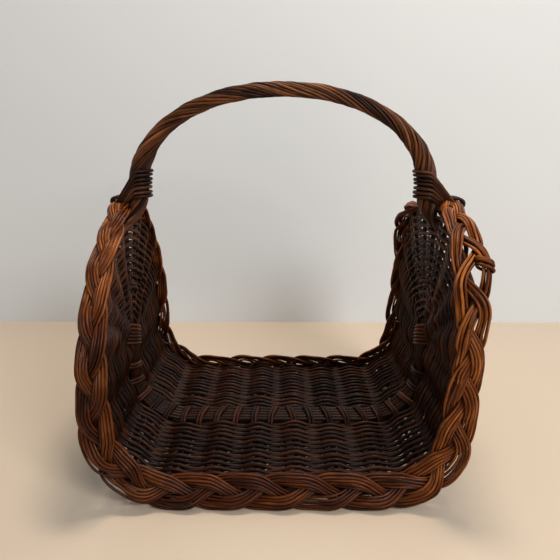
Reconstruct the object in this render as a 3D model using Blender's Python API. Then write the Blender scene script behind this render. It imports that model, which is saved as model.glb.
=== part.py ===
"""Wicker log basket: an oval mat of willow, bent up at both ends into two domed walls, with a bow handle.

Metres, +Z up. X runs left to right, -Y is the front, and the origin is on the floor under the middle of
the whole basket.

The mat is woven on stakes. Its position is given by two numbers: run, the distance along the mat from
the middle towards one end, and y. Each dome is a fan: its stakes spread from a fan centre in the wall.
"""

import math

import bmesh
import bpy
from mathutils import Vector

# ---- Driving dimensions -------------------------------------------------------------------------

BASKET_WIDTH = 0.450          # over the plaits of the two walls
BASKET_DEPTH = 0.368          # over the front and back plaits
HANDLE_TOP = 0.484            # highest point of the handle
MAT_MIDDLE_X = -0.005         # the left wall leans in, so the mat's middle stands left of the basket's

PLAIT_SWING = 0.0110          # how far a strand's middle swings across the mat's edge, each way
PLAIT_LIFT = 0.0060           # how far it swings in and out, twice as often
STRAND_WIDTH = 0.0116
STRAND_THICKNESS = 0.0055
STRAND_EDGE = 0.0014          # thickness of a strand at its two edges
STRAND_COUNT = 3
PLAIT_PERIODS = 14            # whole turns of one strand round the border
PLAIT_STEPS = 12              # sections per turn

CORNER_RADIUS = 0.080         # bend of the mat between floor and wall
WALL_LEAN = {-1: math.radians(2.5), 1: 0.0}      # inward lean of the left and right wall
FAN_HEIGHT = 0.150            # height of each dome's fan centre
DOME_RISE = {-1: 0.184, 1: 0.190}                # from the fan centre to the plait's middle
DOME_POWER = {-1: 1.7, 1: 2.8}                   # 2 is an ellipse, more is squarer

STICK_RADIUS = 0.00325
CROSS_STICK_COUNT = 12
LONG_STICK_COUNT = 5          # they spread into the middle stakes of both fans
LONG_STICK_PITCH = 0.0072     # spacing of the band of long sticks
LONG_STICK_OFFSET = 0.0070    # the band lies on the cross sticks, on the mat's inner side
LONG_STICK_SETTLE = (0.020, 0.012)               # where it drops between the fan's stakes
FAN_STEP = math.radians(18)   # angle between neighbouring stakes of a fan
FAN_STAKE_COUNT = 9           # the long sticks' ends and, on both sides of them, the fan sticks
FAN_INNER_RADIUS = 0.030      # the fan sticks start this far from the fan centre

ROUND_COUNT = 5
ROUND_WIDTH = 0.0250
ROUND_THICKNESS = 0.0050
ROUND_PITCH = 0.0268
WEAVE_HEIGHT = 0.0068         # middle of a round above or below the middle of a stake
WEAVE_FLAT = 0.0080           # length each side of a stake over which a round stays level
WEAVE_FLAT_SHARE = 0.25       # and at most this share of the angle between two fan stakes

HANDLE_SHOULDER_POWER = 2.1   # squareness of the bow's arch
HANDLE_FOOT_HEIGHT = 0.285    # lower end of the handle's rods, inside the walls
HANDLE_SPRING_HEIGHT = 0.350  # where the arch starts, just above the border
HANDLE_ROD_COUNT = 5
HANDLE_ROD_RADIUS = 0.0030
HANDLE_BOW_RADIUS = 0.0038
HANDLE_GAP = 0.0008           # between the bow and its rods
HANDLE_TWIST_TURNS = 2.5
BORDER_BULGE = 0.0075         # the plait is pushed out this far where the handle passes it
BORDER_BULGE_LENGTH = 0.040

LASHING_ROD_RADIUS = 0.0023
LASHING_TURNS = 6
TIE_ROD_RADIUS = 0.0021
TIE_REACH = 0.0132            # from the plait's middle up, and down, to the tie
TIE_SPACE = 0.0064            # room between plait and weaving for the tie
TIE_CORNER = 0.6              # where the tie rounds the plait's outer corners, as a share of its reach

GAP = 0.0004                  # clearance between neighbouring pieces
END_GAP = 0.0008              # clearance at the ends of the sticks

# ---- Values that follow from them ---------------------------------------------------------------

PLAIT_HALF_HEIGHT = PLAIT_SWING + STRAND_WIDTH / 2
PLAIT_HALF_THICKNESS = PLAIT_LIFT + STRAND_THICKNESS / 2
HALF_WIDTH = BASKET_WIDTH / 2 - PLAIT_HALF_HEIGHT
HALF_DEPTH = BASKET_DEPTH / 2 - PLAIT_HALF_THICKNESS
FLAT_RUN = HALF_WIDTH - CORNER_RADIUS
# The lowest sections of a strand are half a step from the exact bottom of its swing.
SHEET_HEIGHT = PLAIT_SWING * math.cos(math.pi / PLAIT_STEPS) + STRAND_WIDTH / 2
INNER_EDGE = PLAIT_HALF_THICKNESS + END_GAP      # from the plait's middle in to the mat's edge
HANDLE_RADIUS = HANDLE_BOW_RADIUS + 2 * HANDLE_ROD_RADIUS + HANDLE_GAP
# From the mat's middle surface in to the middle of the handle's foot.
FOOT_INSET = WEAVE_HEIGHT + ROUND_THICKNESS / 2 + GAP + HANDLE_RADIUS

WILLOW = (0.105, 0.042, 0.020, 1.0)
WILLOW_LIGHT = (0.190, 0.075, 0.032, 1.0)
WILLOW_DARK = (0.045, 0.018, 0.010, 1.0)


# ---- The mat's surface --------------------------------------------------------------------------

def fan_run(side):
    """Run at which the wall reaches the fan centre's height."""
    turn = math.pi / 2 + WALL_LEAN[side]
    arc_top = SHEET_HEIGHT + CORNER_RADIUS * (1 - math.cos(turn))
    return FLAT_RUN + CORNER_RADIUS * turn + (FAN_HEIGHT - arc_top) / math.sin(turn)


def mat_frame(side, run):
    """Point of the mat's middle surface at y = 0, its direction of growing run, and its inner normal."""
    full_turn = math.pi / 2 + WALL_LEAN[side]
    arc_end = FLAT_RUN + CORNER_RADIUS * full_turn
    turn = min(max(run - FLAT_RUN, 0.0) / CORNER_RADIUS, full_turn)
    straight = max(run - arc_end, 0.0)
    x = min(run, FLAT_RUN) + CORNER_RADIUS * math.sin(turn) + straight * math.cos(turn)
    z = CORNER_RADIUS * (1 - math.cos(turn)) + straight * math.sin(turn)
    point = Vector((MAT_MIDDLE_X + side * x, 0.0, SHEET_HEIGHT + z))
    along = Vector((side * math.cos(turn), 0.0, math.sin(turn)))
    inward = Vector((-side * math.sin(turn), 0.0, math.cos(turn)))
    return point, along, inward


def mat_point(side, run, y, height=0.0):
    """Point at a height above the mat's middle surface, on its inner side."""
    point, _, inward = mat_frame(side, run)
    return point + Vector((0.0, y, 0.0)) + inward * height


def dome_radius(side, angle, inset):
    """Distance from the fan centre to a line that lies inset inside the plait's middle."""
    half_depth = HALF_DEPTH - inset
    rise = DOME_RISE[side] - inset
    if inset > 0:
        rise -= TIE_SPACE
    power = DOME_POWER[side]
    total = (abs(math.cos(angle)) / half_depth) ** power + (abs(math.sin(angle)) / rise) ** power
    return total ** (-1 / power)


def dome_place(side, angle, inset):
    """(run, y) on such a line, at an angle from the front edge's direction towards the top."""
    radius = dome_radius(side, angle, inset)
    return fan_run(side) + radius * math.sin(angle), -radius * math.cos(angle)


def cross_stick_places():
    """Signed runs of the cross sticks, left to right."""
    span = fan_run(-1) + fan_run(1)
    step = span / CROSS_STICK_COUNT
    return [-fan_run(-1) + (i + 0.5) * step for i in range(CROSS_STICK_COUNT)]


# ---- Mesh helpers -------------------------------------------------------------------------------

def make_object(name, bm, colour, roughness=0.45):
    bmesh.ops.recalc_face_normals(bm, faces=bm.faces)
    mesh = bpy.data.meshes.new(name)
    bm.to_mesh(mesh)
    bm.free()
    mesh.shade_smooth()
    mesh.set_sharp_from_angle(angle=math.radians(40))
    obj = bpy.data.objects.new(name, mesh)
    bpy.context.scene.collection.objects.link(obj)
    material = bpy.data.materials.new(name + "_willow")
    material.use_nodes = True
    shader = material.node_tree.nodes["Principled BSDF"]
    shader.inputs["Base Color"].default_value = colour
    shader.inputs["Roughness"].default_value = roughness
    shader.inputs["Metallic"].default_value = 0.0
    mesh.materials.append(material)
    return obj


def sweep(name, stations, colour, closed):
    """One solid through a list of cross-sections, each a ring of points in the same order."""
    bm = bmesh.new()
    rings = [[bm.verts.new(point) for point in ring] for ring in stations]
    sides = len(rings[0])
    pair_count = len(rings) if closed else len(rings) - 1
    for i in range(pair_count):
        ring = rings[i]
        following = rings[(i + 1) % len(rings)]
        for j in range(sides):
            k = (j + 1) % sides
            bm.faces.new((ring[j], ring[k], following[k], following[j]))
    if not closed:
        bm.faces.new(rings[0])
        bm.faces.new(rings[-1])
    return make_object(name, bm, colour)


def tangents(points, closed):
    """Unit directions along a path, from the neighbours of each point."""
    count = len(points)
    result = []
    for i in range(count):
        before = points[(i - 1) % count] if closed else points[max(i - 1, 0)]
        after = points[(i + 1) % count] if closed else points[min(i + 1, count - 1)]
        result.append((after - before).normalized())
    return result


def round_rod(name, points, radius, colour, sides=6, closed=False):
    """A round rod along a path. Each section is turned as little as possible from the last."""
    directions = tangents(points, closed)
    frames = []
    across = directions[0].orthogonal().normalized()
    path_back = directions + directions[:1] if closed else directions
    for direction in path_back:
        across = (across - direction * across.dot(direction)).normalized()
        frames.append((across.copy(), direction.cross(across)))
    closing_turn = 0.0
    if closed:
        first_across, first_other = frames[0]
        last_across = frames.pop()[0]
        closing_turn = math.atan2(last_across.dot(first_other), last_across.dot(first_across))
    stations = []
    for i, point in enumerate(points):
        across, other = frames[i]
        ring = []
        for j in range(sides):
            angle = 2 * math.pi * j / sides - closing_turn * i / len(points)
            ring.append(point + (across * math.cos(angle) + other * math.sin(angle)) * radius)
        stations.append(ring)
    return sweep(name, stations, colour, closed)


# ---- Border plait -------------------------------------------------------------------------------

def border_line(count):
    """Points round the border at equal steps: (side, run, y), starting under the middle at the front."""
    fine = []
    straight_steps = 200
    dome_steps = 400
    for i in range(straight_steps):
        fine.append((1, fan_run(1) * i / straight_steps, -HALF_DEPTH))
    for i in range(dome_steps + 1):
        run, y = dome_place(1, math.pi * i / dome_steps, 0.0)
        fine.append((1, run, y))
    for i in range(straight_steps - 1, 0, -1):
        fine.append((1, fan_run(1) * i / straight_steps, HALF_DEPTH))
    for i in range(straight_steps):
        fine.append((-1, fan_run(-1) * i / straight_steps, HALF_DEPTH))
    for i in range(dome_steps + 1):
        run, y = dome_place(-1, math.pi * (1 - i / dome_steps), 0.0)
        fine.append((-1, run, y))
    for i in range(straight_steps - 1, 0, -1):
        fine.append((-1, fan_run(-1) * i / straight_steps, -HALF_DEPTH))
    places = [mat_point(*place) for place in fine]
    lengths = [0.0]
    for i in range(len(places)):
        lengths.append(lengths[-1] + (places[(i + 1) % len(places)] - places[i]).length)
    result = []
    j = 0
    for i in range(count):
        target = lengths[-1] * (i + 0.5) / count
        while lengths[j + 1] < target:
            j += 1
        share = (target - lengths[j]) / (lengths[j + 1] - lengths[j])
        side, run, y = fine[j]
        next_side, next_run, next_y = fine[(j + 1) % len(fine)]
        if next_side != side:
            next_run = -next_run
        result.append((side, run + (next_run - run) * share, y + (next_y - y) * share))
    return result


def border_push(run, y, side):
    """How far the plait is pushed outwards by the handle's foot."""
    if run < fan_run(side):
        return 0.0
    return BORDER_BULGE * math.exp(-(y / BORDER_BULGE_LENGTH) ** 2)


def make_plait():
    count = PLAIT_PERIODS * PLAIT_STEPS
    middles = []
    normals = []
    for side, run, y in border_line(count):
        middles.append(mat_point(side, run, y, -border_push(run, y, side)))
        normals.append(mat_frame(side, run)[2])
    directions = tangents(middles, True)
    half_width = STRAND_WIDTH / 2
    half_edge = STRAND_EDGE / 2
    half_thickness = STRAND_THICKNESS / 2
    outline = [
        (-half_width, -half_edge), (0.0, -half_thickness), (half_width, -half_edge),
        (half_width, half_edge), (0.0, half_thickness), (-half_width, half_edge),
    ]
    colours = (WILLOW, WILLOW_LIGHT, WILLOW)
    for strand in range(STRAND_COUNT):
        stations = []
        for i in range(count):
            phase = 2 * math.pi * ((i + 0.5) / PLAIT_STEPS + strand / STRAND_COUNT)
            normal = normals[i]
            outward = directions[i].cross(normal).normalized()
            middle = middles[i]
            middle = middle + normal * (PLAIT_SWING * math.sin(phase))
            middle = middle - outward * (PLAIT_LIFT * math.sin(2 * phase))
            stations.append([middle + normal * w + outward * t for w, t in outline])
        sweep(f"plait_strand_{strand + 1}", stations, colours[strand], True)


# ---- Weaving ------------------------------------------------------------------------------------

def round_crossings(inset):
    """Where a round crosses the stakes, all the way round: (side, run, y, angle or None)."""
    half_depth = HALF_DEPTH - inset
    crossings = []
    sticks = cross_stick_places()
    for place in sticks:
        crossings.append((1 if place > 0 else -1, abs(place), -half_depth, None))
    for k in range(1, FAN_STAKE_COUNT + 1):
        run, y = dome_place(1, k * FAN_STEP, inset)
        crossings.append((1, run, y, k * FAN_STEP))
    for place in reversed(sticks):
        crossings.append((1 if place > 0 else -1, abs(place), half_depth, None))
    for k in range(FAN_STAKE_COUNT, 0, -1):
        run, y = dome_place(-1, k * FAN_STEP, inset)
        crossings.append((-1, run, y, k * FAN_STEP))
    return crossings


def make_weaver_round(number):
    inset = INNER_EDGE + ROUND_WIDTH / 2 + (number - 1) * ROUND_PITCH
    stations = []
    for i, (side, run, y, angle) in enumerate(round_crossings(inset)):
        height = WEAVE_HEIGHT if (i + number) % 2 == 0 else -WEAVE_HEIGHT
        for step in (-1, 1):
            if angle is None:
                signed = side * run + step * (WEAVE_FLAT if y < 0 else -WEAVE_FLAT)
                new_side = 1 if signed > 0 else -1
                inner = [abs(signed), y - math.copysign(ROUND_WIDTH / 2, y)]
                outer = [abs(signed), y + math.copysign(ROUND_WIDTH / 2, y)]
            else:
                new_side = side
                swing = min(WEAVE_FLAT / dome_radius(side, angle, inset), WEAVE_FLAT_SHARE * FAN_STEP)
                turned = angle + side * step * swing
                inner = dome_place(side, turned, inset + ROUND_WIDTH / 2)
                outer = dome_place(side, turned, inset - ROUND_WIDTH / 2)
            low = height - ROUND_THICKNESS / 2
            high = height + ROUND_THICKNESS / 2
            stations.append([
                mat_point(new_side, inner[0], inner[1], low),
                mat_point(new_side, outer[0], outer[1], low),
                mat_point(new_side, outer[0], outer[1], high),
                mat_point(new_side, inner[0], inner[1], high),
            ])
    sweep(f"weaver_round_{number}", stations, WILLOW_DARK if number % 2 else WILLOW, True)


# ---- Stakes -------------------------------------------------------------------------------------

def make_cross_sticks():
    reach = HALF_DEPTH - INNER_EDGE
    for number, place in enumerate(cross_stick_places(), start=1):
        side = 1 if place > 0 else -1
        points = [mat_point(side, abs(place), -reach), mat_point(side, abs(place), reach)]
        round_rod(f"cross_stick_{number:02d}", points, STICK_RADIUS, WILLOW_DARK, sides=8)


def stake_end(side, angle):
    """Distance from the fan centre to a stake's outer end."""
    return dome_radius(side, angle, INNER_EDGE + END_GAP)


def make_fan_sticks():
    beside = (FAN_STAKE_COUNT - LONG_STICK_COUNT) // 2
    front = list(range(1, beside + 1))
    back = list(range(FAN_STAKE_COUNT - beside + 1, FAN_STAKE_COUNT + 1))
    for side, word in ((-1, "left"), (1, "right")):
        for number, k in enumerate(front + back, start=1):
            angle = k * FAN_STEP
            points = []
            for radius in (FAN_INNER_RADIUS, stake_end(side, angle)):
                run = fan_run(side) + radius * math.sin(angle)
                points.append(mat_point(side, run, -radius * math.cos(angle)))
            round_rod(f"fan_stick_{word}_{number}", points, STICK_RADIUS, WILLOW_DARK, sides=8)


def long_stick_height(side, run):
    """Height of the band above the mat's middle surface, settling to 0 at the fan."""
    start = fan_run(side) - LONG_STICK_SETTLE[0]
    end = fan_run(side) + LONG_STICK_SETTLE[1]
    share = min(max((run - start) / (end - start), 0.0), 1.0)
    return LONG_STICK_OFFSET * (1 - share)


def long_stick_half(side, number):
    """Points of one half of a long stick, from the middle out to the dome's edge."""
    place = number - (LONG_STICK_COUNT + 1) // 2
    y = place * LONG_STICK_PITCH
    angle = math.pi / 2 + place * FAN_STEP
    corner_steps = 6
    corner_length = CORNER_RADIUS * (math.pi / 2 + WALL_LEAN[side])
    runs = [FLAT_RUN / 2]
    runs += [FLAT_RUN + corner_length * i / corner_steps for i in range(corner_steps + 1)]
    runs.append(fan_run(side) - LONG_STICK_SETTLE[0])
    runs.append(fan_run(side) + LONG_STICK_SETTLE[1])
    points = [mat_point(side, run, y, long_stick_height(side, run)) for run in runs]
    # The stick runs straight until it meets its own ray from the fan centre, then follows the ray.
    meeting = LONG_STICK_PITCH / math.sin(FAN_STEP) if place == 0 else y / -math.cos(angle)
    for radius in (meeting, stake_end(side, angle)):
        run = fan_run(side) + radius * math.sin(angle)
        points.append(mat_point(side, run, -radius * math.cos(angle)))
    return points


def make_long_sticks():
    for number in range(1, LONG_STICK_COUNT + 1):
        left = long_stick_half(-1, number)
        right = long_stick_half(1, number)
        points = list(reversed(left)) + right
        round_rod(f"long_stick_{number}", points, STICK_RADIUS, WILLOW_DARK)


# ---- Handle -------------------------------------------------------------------------------------

def foot_place(side, z):
    """Middle of the handle's foot at a height, in front of the wall's inner side."""
    run = fan_run(side) + (z - FAN_HEIGHT) / math.cos(WALL_LEAN[side])
    return mat_point(side, run, 0.0, FOOT_INSET)


def handle_arch(direction_x, share):
    """Point of the arch at a share of its rise, on the left (-1) or right (1) half."""
    left = foot_place(-1, HANDLE_SPRING_HEIGHT)
    right = foot_place(1, HANDLE_SPRING_HEIGHT)
    half_span = (right.x - left.x) / 2
    rise = HANDLE_TOP - HANDLE_RADIUS - HANDLE_SPRING_HEIGHT
    out = (1 - share ** HANDLE_SHOULDER_POWER) ** (1 / HANDLE_SHOULDER_POWER)
    x = (left.x + right.x) / 2 + direction_x * half_span * out
    return Vector((x, 0.0, HANDLE_SPRING_HEIGHT + rise * share))


def handle_place(side, z):
    """Middle of the handle at a height, on its left or right half."""
    if z <= HANDLE_SPRING_HEIGHT:
        return foot_place(side, z)
    rise = HANDLE_TOP - HANDLE_RADIUS - HANDLE_SPRING_HEIGHT
    return handle_arch(side, (z - HANDLE_SPRING_HEIGHT) / rise)


def handle_line():
    """Middle line of the handle from the left foot over the top to the right foot."""
    foot_steps = 3
    arch_steps = 12
    foot_length = HANDLE_SPRING_HEIGHT - HANDLE_FOOT_HEIGHT
    halves = []
    for side in (-1, 1):
        half = []
        for i in range(foot_steps):
            half.append(foot_place(side, HANDLE_FOOT_HEIGHT + foot_length * i / foot_steps))
        for i in range(arch_steps + 1):
            half.append(handle_arch(side, math.sin(math.pi / 2 * i / arch_steps)))
        halves.append(half)
    left, right = halves
    return left + right[-2::-1]


def make_handle():
    line = handle_line()
    round_rod("handle_bow", line, HANDLE_BOW_RADIUS, WILLOW)
    directions = tangents(line, False)
    lengths = [0.0]
    for i in range(1, len(line)):
        lengths.append(lengths[-1] + (line[i] - line[i - 1]).length)
    orbit = HANDLE_BOW_RADIUS + HANDLE_ROD_RADIUS + HANDLE_GAP
    depth = Vector((0.0, 1.0, 0.0))
    for rod in range(HANDLE_ROD_COUNT):
        points = []
        for point, direction, length in zip(line, directions, lengths):
            turn = HANDLE_TWIST_TURNS * length / lengths[-1] + rod / HANDLE_ROD_COUNT
            angle = 2 * math.pi * turn
            side = direction.cross(depth)
            points.append(point + (depth * math.cos(angle) + side * math.sin(angle)) * orbit)
        colour = WILLOW_LIGHT if rod % 2 else WILLOW
        round_rod(f"handle_rod_{rod + 1}", points, HANDLE_ROD_RADIUS, colour, sides=5)


def make_lashing(side, word):
    """A coil round the handle, just above the border."""
    steps_per_turn = 8
    coil_radius = HANDLE_RADIUS + LASHING_ROD_RADIUS + 2 * GAP
    corner_radius = coil_radius / math.cos(math.pi / steps_per_turn)
    pitch = 2 * LASHING_ROD_RADIUS + GAP
    z = FAN_HEIGHT + DOME_RISE[side] + TIE_REACH + TIE_ROD_RADIUS + GAP + LASHING_ROD_RADIUS
    depth = Vector((0.0, 1.0, 0.0))
    points = []
    for i in range(LASHING_TURNS * steps_per_turn + 1):
        up = (handle_place(side, z + pitch) - handle_place(side, z - pitch)).normalized()
        angle = 2 * math.pi * i / steps_per_turn
        offset = up.cross(depth) * math.cos(angle) + depth * math.sin(angle)
        points.append(handle_place(side, z) + offset * corner_radius)
        z += pitch / steps_per_turn * up.z
    round_rod(f"lashing_{word}", points, LASHING_ROD_RADIUS, WILLOW_DARK, sides=5)


def make_border_tie(side, word):
    """A closed loop over the plait, round the handle's foot and back under the plait."""
    top_run = fan_run(side) + DOME_RISE[side]
    loop_radius = HANDLE_RADIUS + TIE_ROD_RADIUS + 2 * GAP
    outer_height = -BORDER_BULGE - PLAIT_HALF_HEIGHT
    outer_reach = TIE_ROD_RADIUS + 2 * GAP
    places = []
    places.append((outer_height, TIE_REACH, loop_radius))
    foot_steps = 6
    for i in range(foot_steps + 1):
        angle = math.pi * (0.5 - i / foot_steps)
        height = FOOT_INSET + loop_radius * math.cos(angle) / math.cos(math.pi / foot_steps / 2)
        places.append((height, TIE_REACH * math.sin(angle), loop_radius * math.sin(angle)))
    places.append((outer_height, -TIE_REACH, -loop_radius))
    for share in (-TIE_CORNER, 0.0, TIE_CORNER):
        places.append((outer_height - outer_reach, TIE_REACH * share, loop_radius * share))
    points = [mat_point(side, top_run + rise, y, height) for height, rise, y in places]
    round_rod(f"border_tie_{word}", points, TIE_ROD_RADIUS, WILLOW_DARK, closed=True)


# ---- Build --------------------------------------------------------------------------------------

def main():
    for obj in list(bpy.data.objects):
        bpy.data.objects.remove(obj, do_unlink=True)
    make_plait()
    for number in range(1, ROUND_COUNT + 1):
        make_weaver_round(number)
    make_cross_sticks()
    make_long_sticks()
    make_fan_sticks()
    make_handle()
    for side, word in ((-1, "left"), (1, "right")):
        make_lashing(side, word)
        make_border_tie(side, word)


main()
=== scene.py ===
"""Looks of the wicker log basket: every willow rod is its own tube, laid on a surface close to the CAD's.

A place on the mat is (run, y): run is the signed distance along the mat from its middle, negative on the
left, and height is the distance from the mat's middle surface, positive on the inner side. A table keyed
by side has -1 for the left wall and 1 for the right one.
"""

import math

import bpy
import numpy as np
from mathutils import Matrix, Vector


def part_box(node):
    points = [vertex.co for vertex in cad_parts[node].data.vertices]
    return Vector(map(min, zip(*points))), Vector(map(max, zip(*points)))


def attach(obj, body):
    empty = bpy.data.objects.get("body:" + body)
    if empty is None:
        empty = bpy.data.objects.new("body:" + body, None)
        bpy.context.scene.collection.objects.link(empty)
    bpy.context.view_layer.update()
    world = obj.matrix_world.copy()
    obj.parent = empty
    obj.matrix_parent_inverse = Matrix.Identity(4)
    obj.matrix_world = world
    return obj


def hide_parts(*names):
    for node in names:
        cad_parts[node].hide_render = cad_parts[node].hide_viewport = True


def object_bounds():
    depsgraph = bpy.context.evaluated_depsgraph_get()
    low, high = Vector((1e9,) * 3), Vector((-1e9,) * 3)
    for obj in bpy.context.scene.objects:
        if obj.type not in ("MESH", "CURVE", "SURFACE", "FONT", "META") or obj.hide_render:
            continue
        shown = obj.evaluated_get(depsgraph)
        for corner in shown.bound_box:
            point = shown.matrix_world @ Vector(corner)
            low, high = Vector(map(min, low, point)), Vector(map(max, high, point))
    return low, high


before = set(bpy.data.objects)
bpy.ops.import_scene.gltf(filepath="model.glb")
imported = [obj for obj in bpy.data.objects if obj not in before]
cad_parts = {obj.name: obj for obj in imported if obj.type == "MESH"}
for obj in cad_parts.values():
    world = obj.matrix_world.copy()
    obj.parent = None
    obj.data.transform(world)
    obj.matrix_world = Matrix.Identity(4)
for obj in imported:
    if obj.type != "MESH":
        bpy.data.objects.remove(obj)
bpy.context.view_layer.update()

rng = np.random.default_rng(20)

# ---- The mat's dimensions, as in the CAD but for the right wall's outline -------------------------

CORNER_RADIUS = 0.080
WALL_LEAN = {-1: math.radians(2.5), 1: 0.0}
FAN_HEIGHT = 0.150                   # height of each dome's fan centre
DOME_RISE = {-1: 0.184, 1: 0.184}    # the right one is 6 mm lower than in the CAD
DOME_POWER = {-1: 1.7, 1: 3.1}       # 2 is an ellipse, more is squarer; the right one is 2.8 in the CAD
DOME_SLUMP = {-1: 0.0, 1: 0.018}     # how much the dome's rise falls off towards the back
CROSS_STICKS = 12
FAN_STAKES = 9
FAN_STEP = math.radians(18)
LONG_STICKS = 5
LONG_STICK_PITCH = 0.0072
PLAIT_TURNS = 14
BORDER_LENGTH = 2.2                  # a rough value, used only for how steeply a strand crosses the border
BORDER_BULGE_LENGTH = 0.040
SPRING_HEIGHT = 0.350                # where the handle's arch starts
ARCH_POWER = 2.1

floor_stick_low, floor_stick_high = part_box("cross_stick_06")
plait_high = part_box("plait_strand_1")[1]
SHEET_HEIGHT = (floor_stick_low.z + floor_stick_high.z) / 2
PLAIT_HALF_HEIGHT = 0.0168
PLAIT_HALF_THICKNESS = 0.00875
MAT_MIDDLE_X = -0.005
BASKET_HALF_WIDTH = 0.225            # over the plait of a wall
HALF_WIDTH = BASKET_HALF_WIDTH - PLAIT_HALF_HEIGHT
HALF_DEPTH = plait_high.y - PLAIT_HALF_THICKNESS
FLAT_RUN = HALF_WIDTH - CORNER_RADIUS
HANDLE_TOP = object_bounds()[1][2]

# ---- Rod sizes ----------------------------------------------------------------------------------

BORDER_ROD = 0.00182          # radii
BORDER_RODS_PER_STRAND = 5
BORDER_ROD_SPACING = 0.0034
STRAND_REACH = 0.0073         # how far a rod may stray from its strand's middle
STRAND_ARCH = 0.0027          # how much a strand's edge rods lie below its middle one
PLAIT_LIFT = 0.0046
PLAIT_SHINGLE = 0.22
PLAIT_TILT = math.radians(24)  # how far the plait leans back where it lies on the floor
PLAIT_HALF = {                # half of the plait's width at heights above the floor
    -1: ((0.0, 0.100, 0.200, 0.245, 0.280, 0.335), (0.0215, 0.0205, 0.0172, 0.0156, 0.0150, 0.0140)),
    1: ((0.0, 0.100, 0.155, 0.200, 0.235, 0.270, 0.300, 0.335),
        (0.0215, 0.0212, 0.0190, 0.0172, 0.0178, 0.0215, 0.0210, 0.0150)),
}
APEX_BULGE = {-1: 0.0045, 1: 0.0150}     # how far the handle pushes the plait out
LOOSE_ANGLE = 43              # where the right wall's plait is loose, in degrees round its dome
LOOSE_SPREAD = 19
WEAVER_ROD = 0.0026
WEAVER_PITCH = 0.0053
STAKE_ROD = 0.0030
HANDLE_ROD = 0.0017
HANDLE_RODS = 14
HANDLE_SHORT_RODS = 14        # half of them at each foot
HANDLE_TWIST = 0.165          # length of handle in which a rod goes once round
LASHING_ROD = 0.0022

# ---- How finely the rods are drawn --------------------------------------------------------------

OUTLINE_POINTS = 600          # on each of the four stretches of a line round the mat
BORDER_STEP = 0.0026
WEAVER_STEP = 0.0046
HANDLE_STEP = 0.0035
LASHING_STEP = 0.0026
SETTLE_ROUNDS = 60
CUT_GRID = 12                 # a rod of the border or the weaving may end at every such step


# ---- The mat's surface --------------------------------------------------------------------------

def fan_run(side):
    turn = math.pi / 2 + WALL_LEAN[side]
    arc_top = SHEET_HEIGHT + CORNER_RADIUS * (1 - math.cos(turn))
    return FLAT_RUN + CORNER_RADIUS * turn + (FAN_HEIGHT - arc_top) / math.sin(turn)


FAN_RUN = {-1: fan_run(-1), 1: fan_run(1)}


def mat(run, y, height=0.0):
    """Points and inner normals for arrays of signed run, y and height."""
    run, y, height = np.broadcast_arrays(np.asarray(run, float), y, height)
    side = np.where(run < 0, -1.0, 1.0)
    distance = np.abs(run)
    lean = np.where(side < 0, WALL_LEAN[-1], WALL_LEAN[1])
    full_turn = math.pi / 2 + lean
    turn = np.clip((distance - FLAT_RUN) / CORNER_RADIUS, 0, full_turn)
    straight = np.maximum(distance - FLAT_RUN - CORNER_RADIUS * full_turn, 0)
    x = np.minimum(distance, FLAT_RUN) + CORNER_RADIUS * np.sin(turn) + straight * np.cos(turn)
    z = CORNER_RADIUS * (1 - np.cos(turn)) + straight * np.sin(turn)
    normal = np.stack([-side * np.sin(turn), np.zeros_like(turn), np.cos(turn)], -1)
    point = np.stack([MAT_MIDDLE_X + side * x, y, SHEET_HEIGHT + z], -1)
    return point + normal * height[..., None], normal


def dome_radius(side, angle, inset):
    half_depth = HALF_DEPTH - inset
    rise = DOME_RISE[side] - inset - DOME_SLUMP[side] * np.clip(-np.cos(angle), 0, 1)
    power = DOME_POWER[side]
    total = (np.abs(np.cos(angle)) / half_depth) ** power + (np.abs(np.sin(angle)) / rise) ** power
    return total ** (-1 / power)


def ring_line(inset, step):
    """A closed line parallel to the border: run, y and arc length, plus the lengths at each stake."""
    half_depth = HALF_DEPTH - inset
    span = FAN_RUN[-1] + FAN_RUN[1]
    stick_runs = -FAN_RUN[-1] + (np.arange(CROSS_STICKS) + 0.5) * span / CROSS_STICKS
    fan_angles = np.arange(1, FAN_STAKES + 1) * FAN_STEP
    straight = np.linspace(-FAN_RUN[-1], FAN_RUN[1], OUTLINE_POINTS, endpoint=False)
    angles = np.linspace(0, math.pi, OUTLINE_POINTS, endpoint=False)

    def dome(side, angle):
        radius = dome_radius(side, angle, inset)
        return np.stack([side * (FAN_RUN[side] + radius * np.sin(angle)), -radius * np.cos(angle)], -1)

    backwards = -straight + (FAN_RUN[1] - FAN_RUN[-1])
    line = np.concatenate([
        np.stack([straight, np.full(OUTLINE_POINTS, -half_depth)], -1),
        dome(1, angles),
        np.stack([backwards, np.full(OUTLINE_POINTS, half_depth)], -1),
        dome(-1, math.pi - angles),
    ])
    stake_places = np.concatenate([
        np.stack([stick_runs, np.full(CROSS_STICKS, -half_depth)], -1),
        dome(1, fan_angles),
        np.stack([stick_runs[::-1], np.full(CROSS_STICKS, half_depth)], -1),
        dome(-1, fan_angles[::-1]),
    ])
    gaps = np.linalg.norm(np.roll(line, -1, 0) - line, axis=1)
    lengths = np.concatenate([[0], np.cumsum(gaps)])
    closed = np.vstack([line, line[:1]])
    nearest = [int(np.argmin(np.linalg.norm(line - place, axis=1))) for place in stake_places]
    stake_lengths = lengths[nearest]
    total = lengths[-1]
    count = int(round(total / step))
    at = np.arange(count) * total / count
    run = np.interp(at, lengths, closed[:, 0])
    y = np.interp(at, lengths, closed[:, 1])
    return run, y, at, total, stake_lengths


# ---- Tubes --------------------------------------------------------------------------------------

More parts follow.
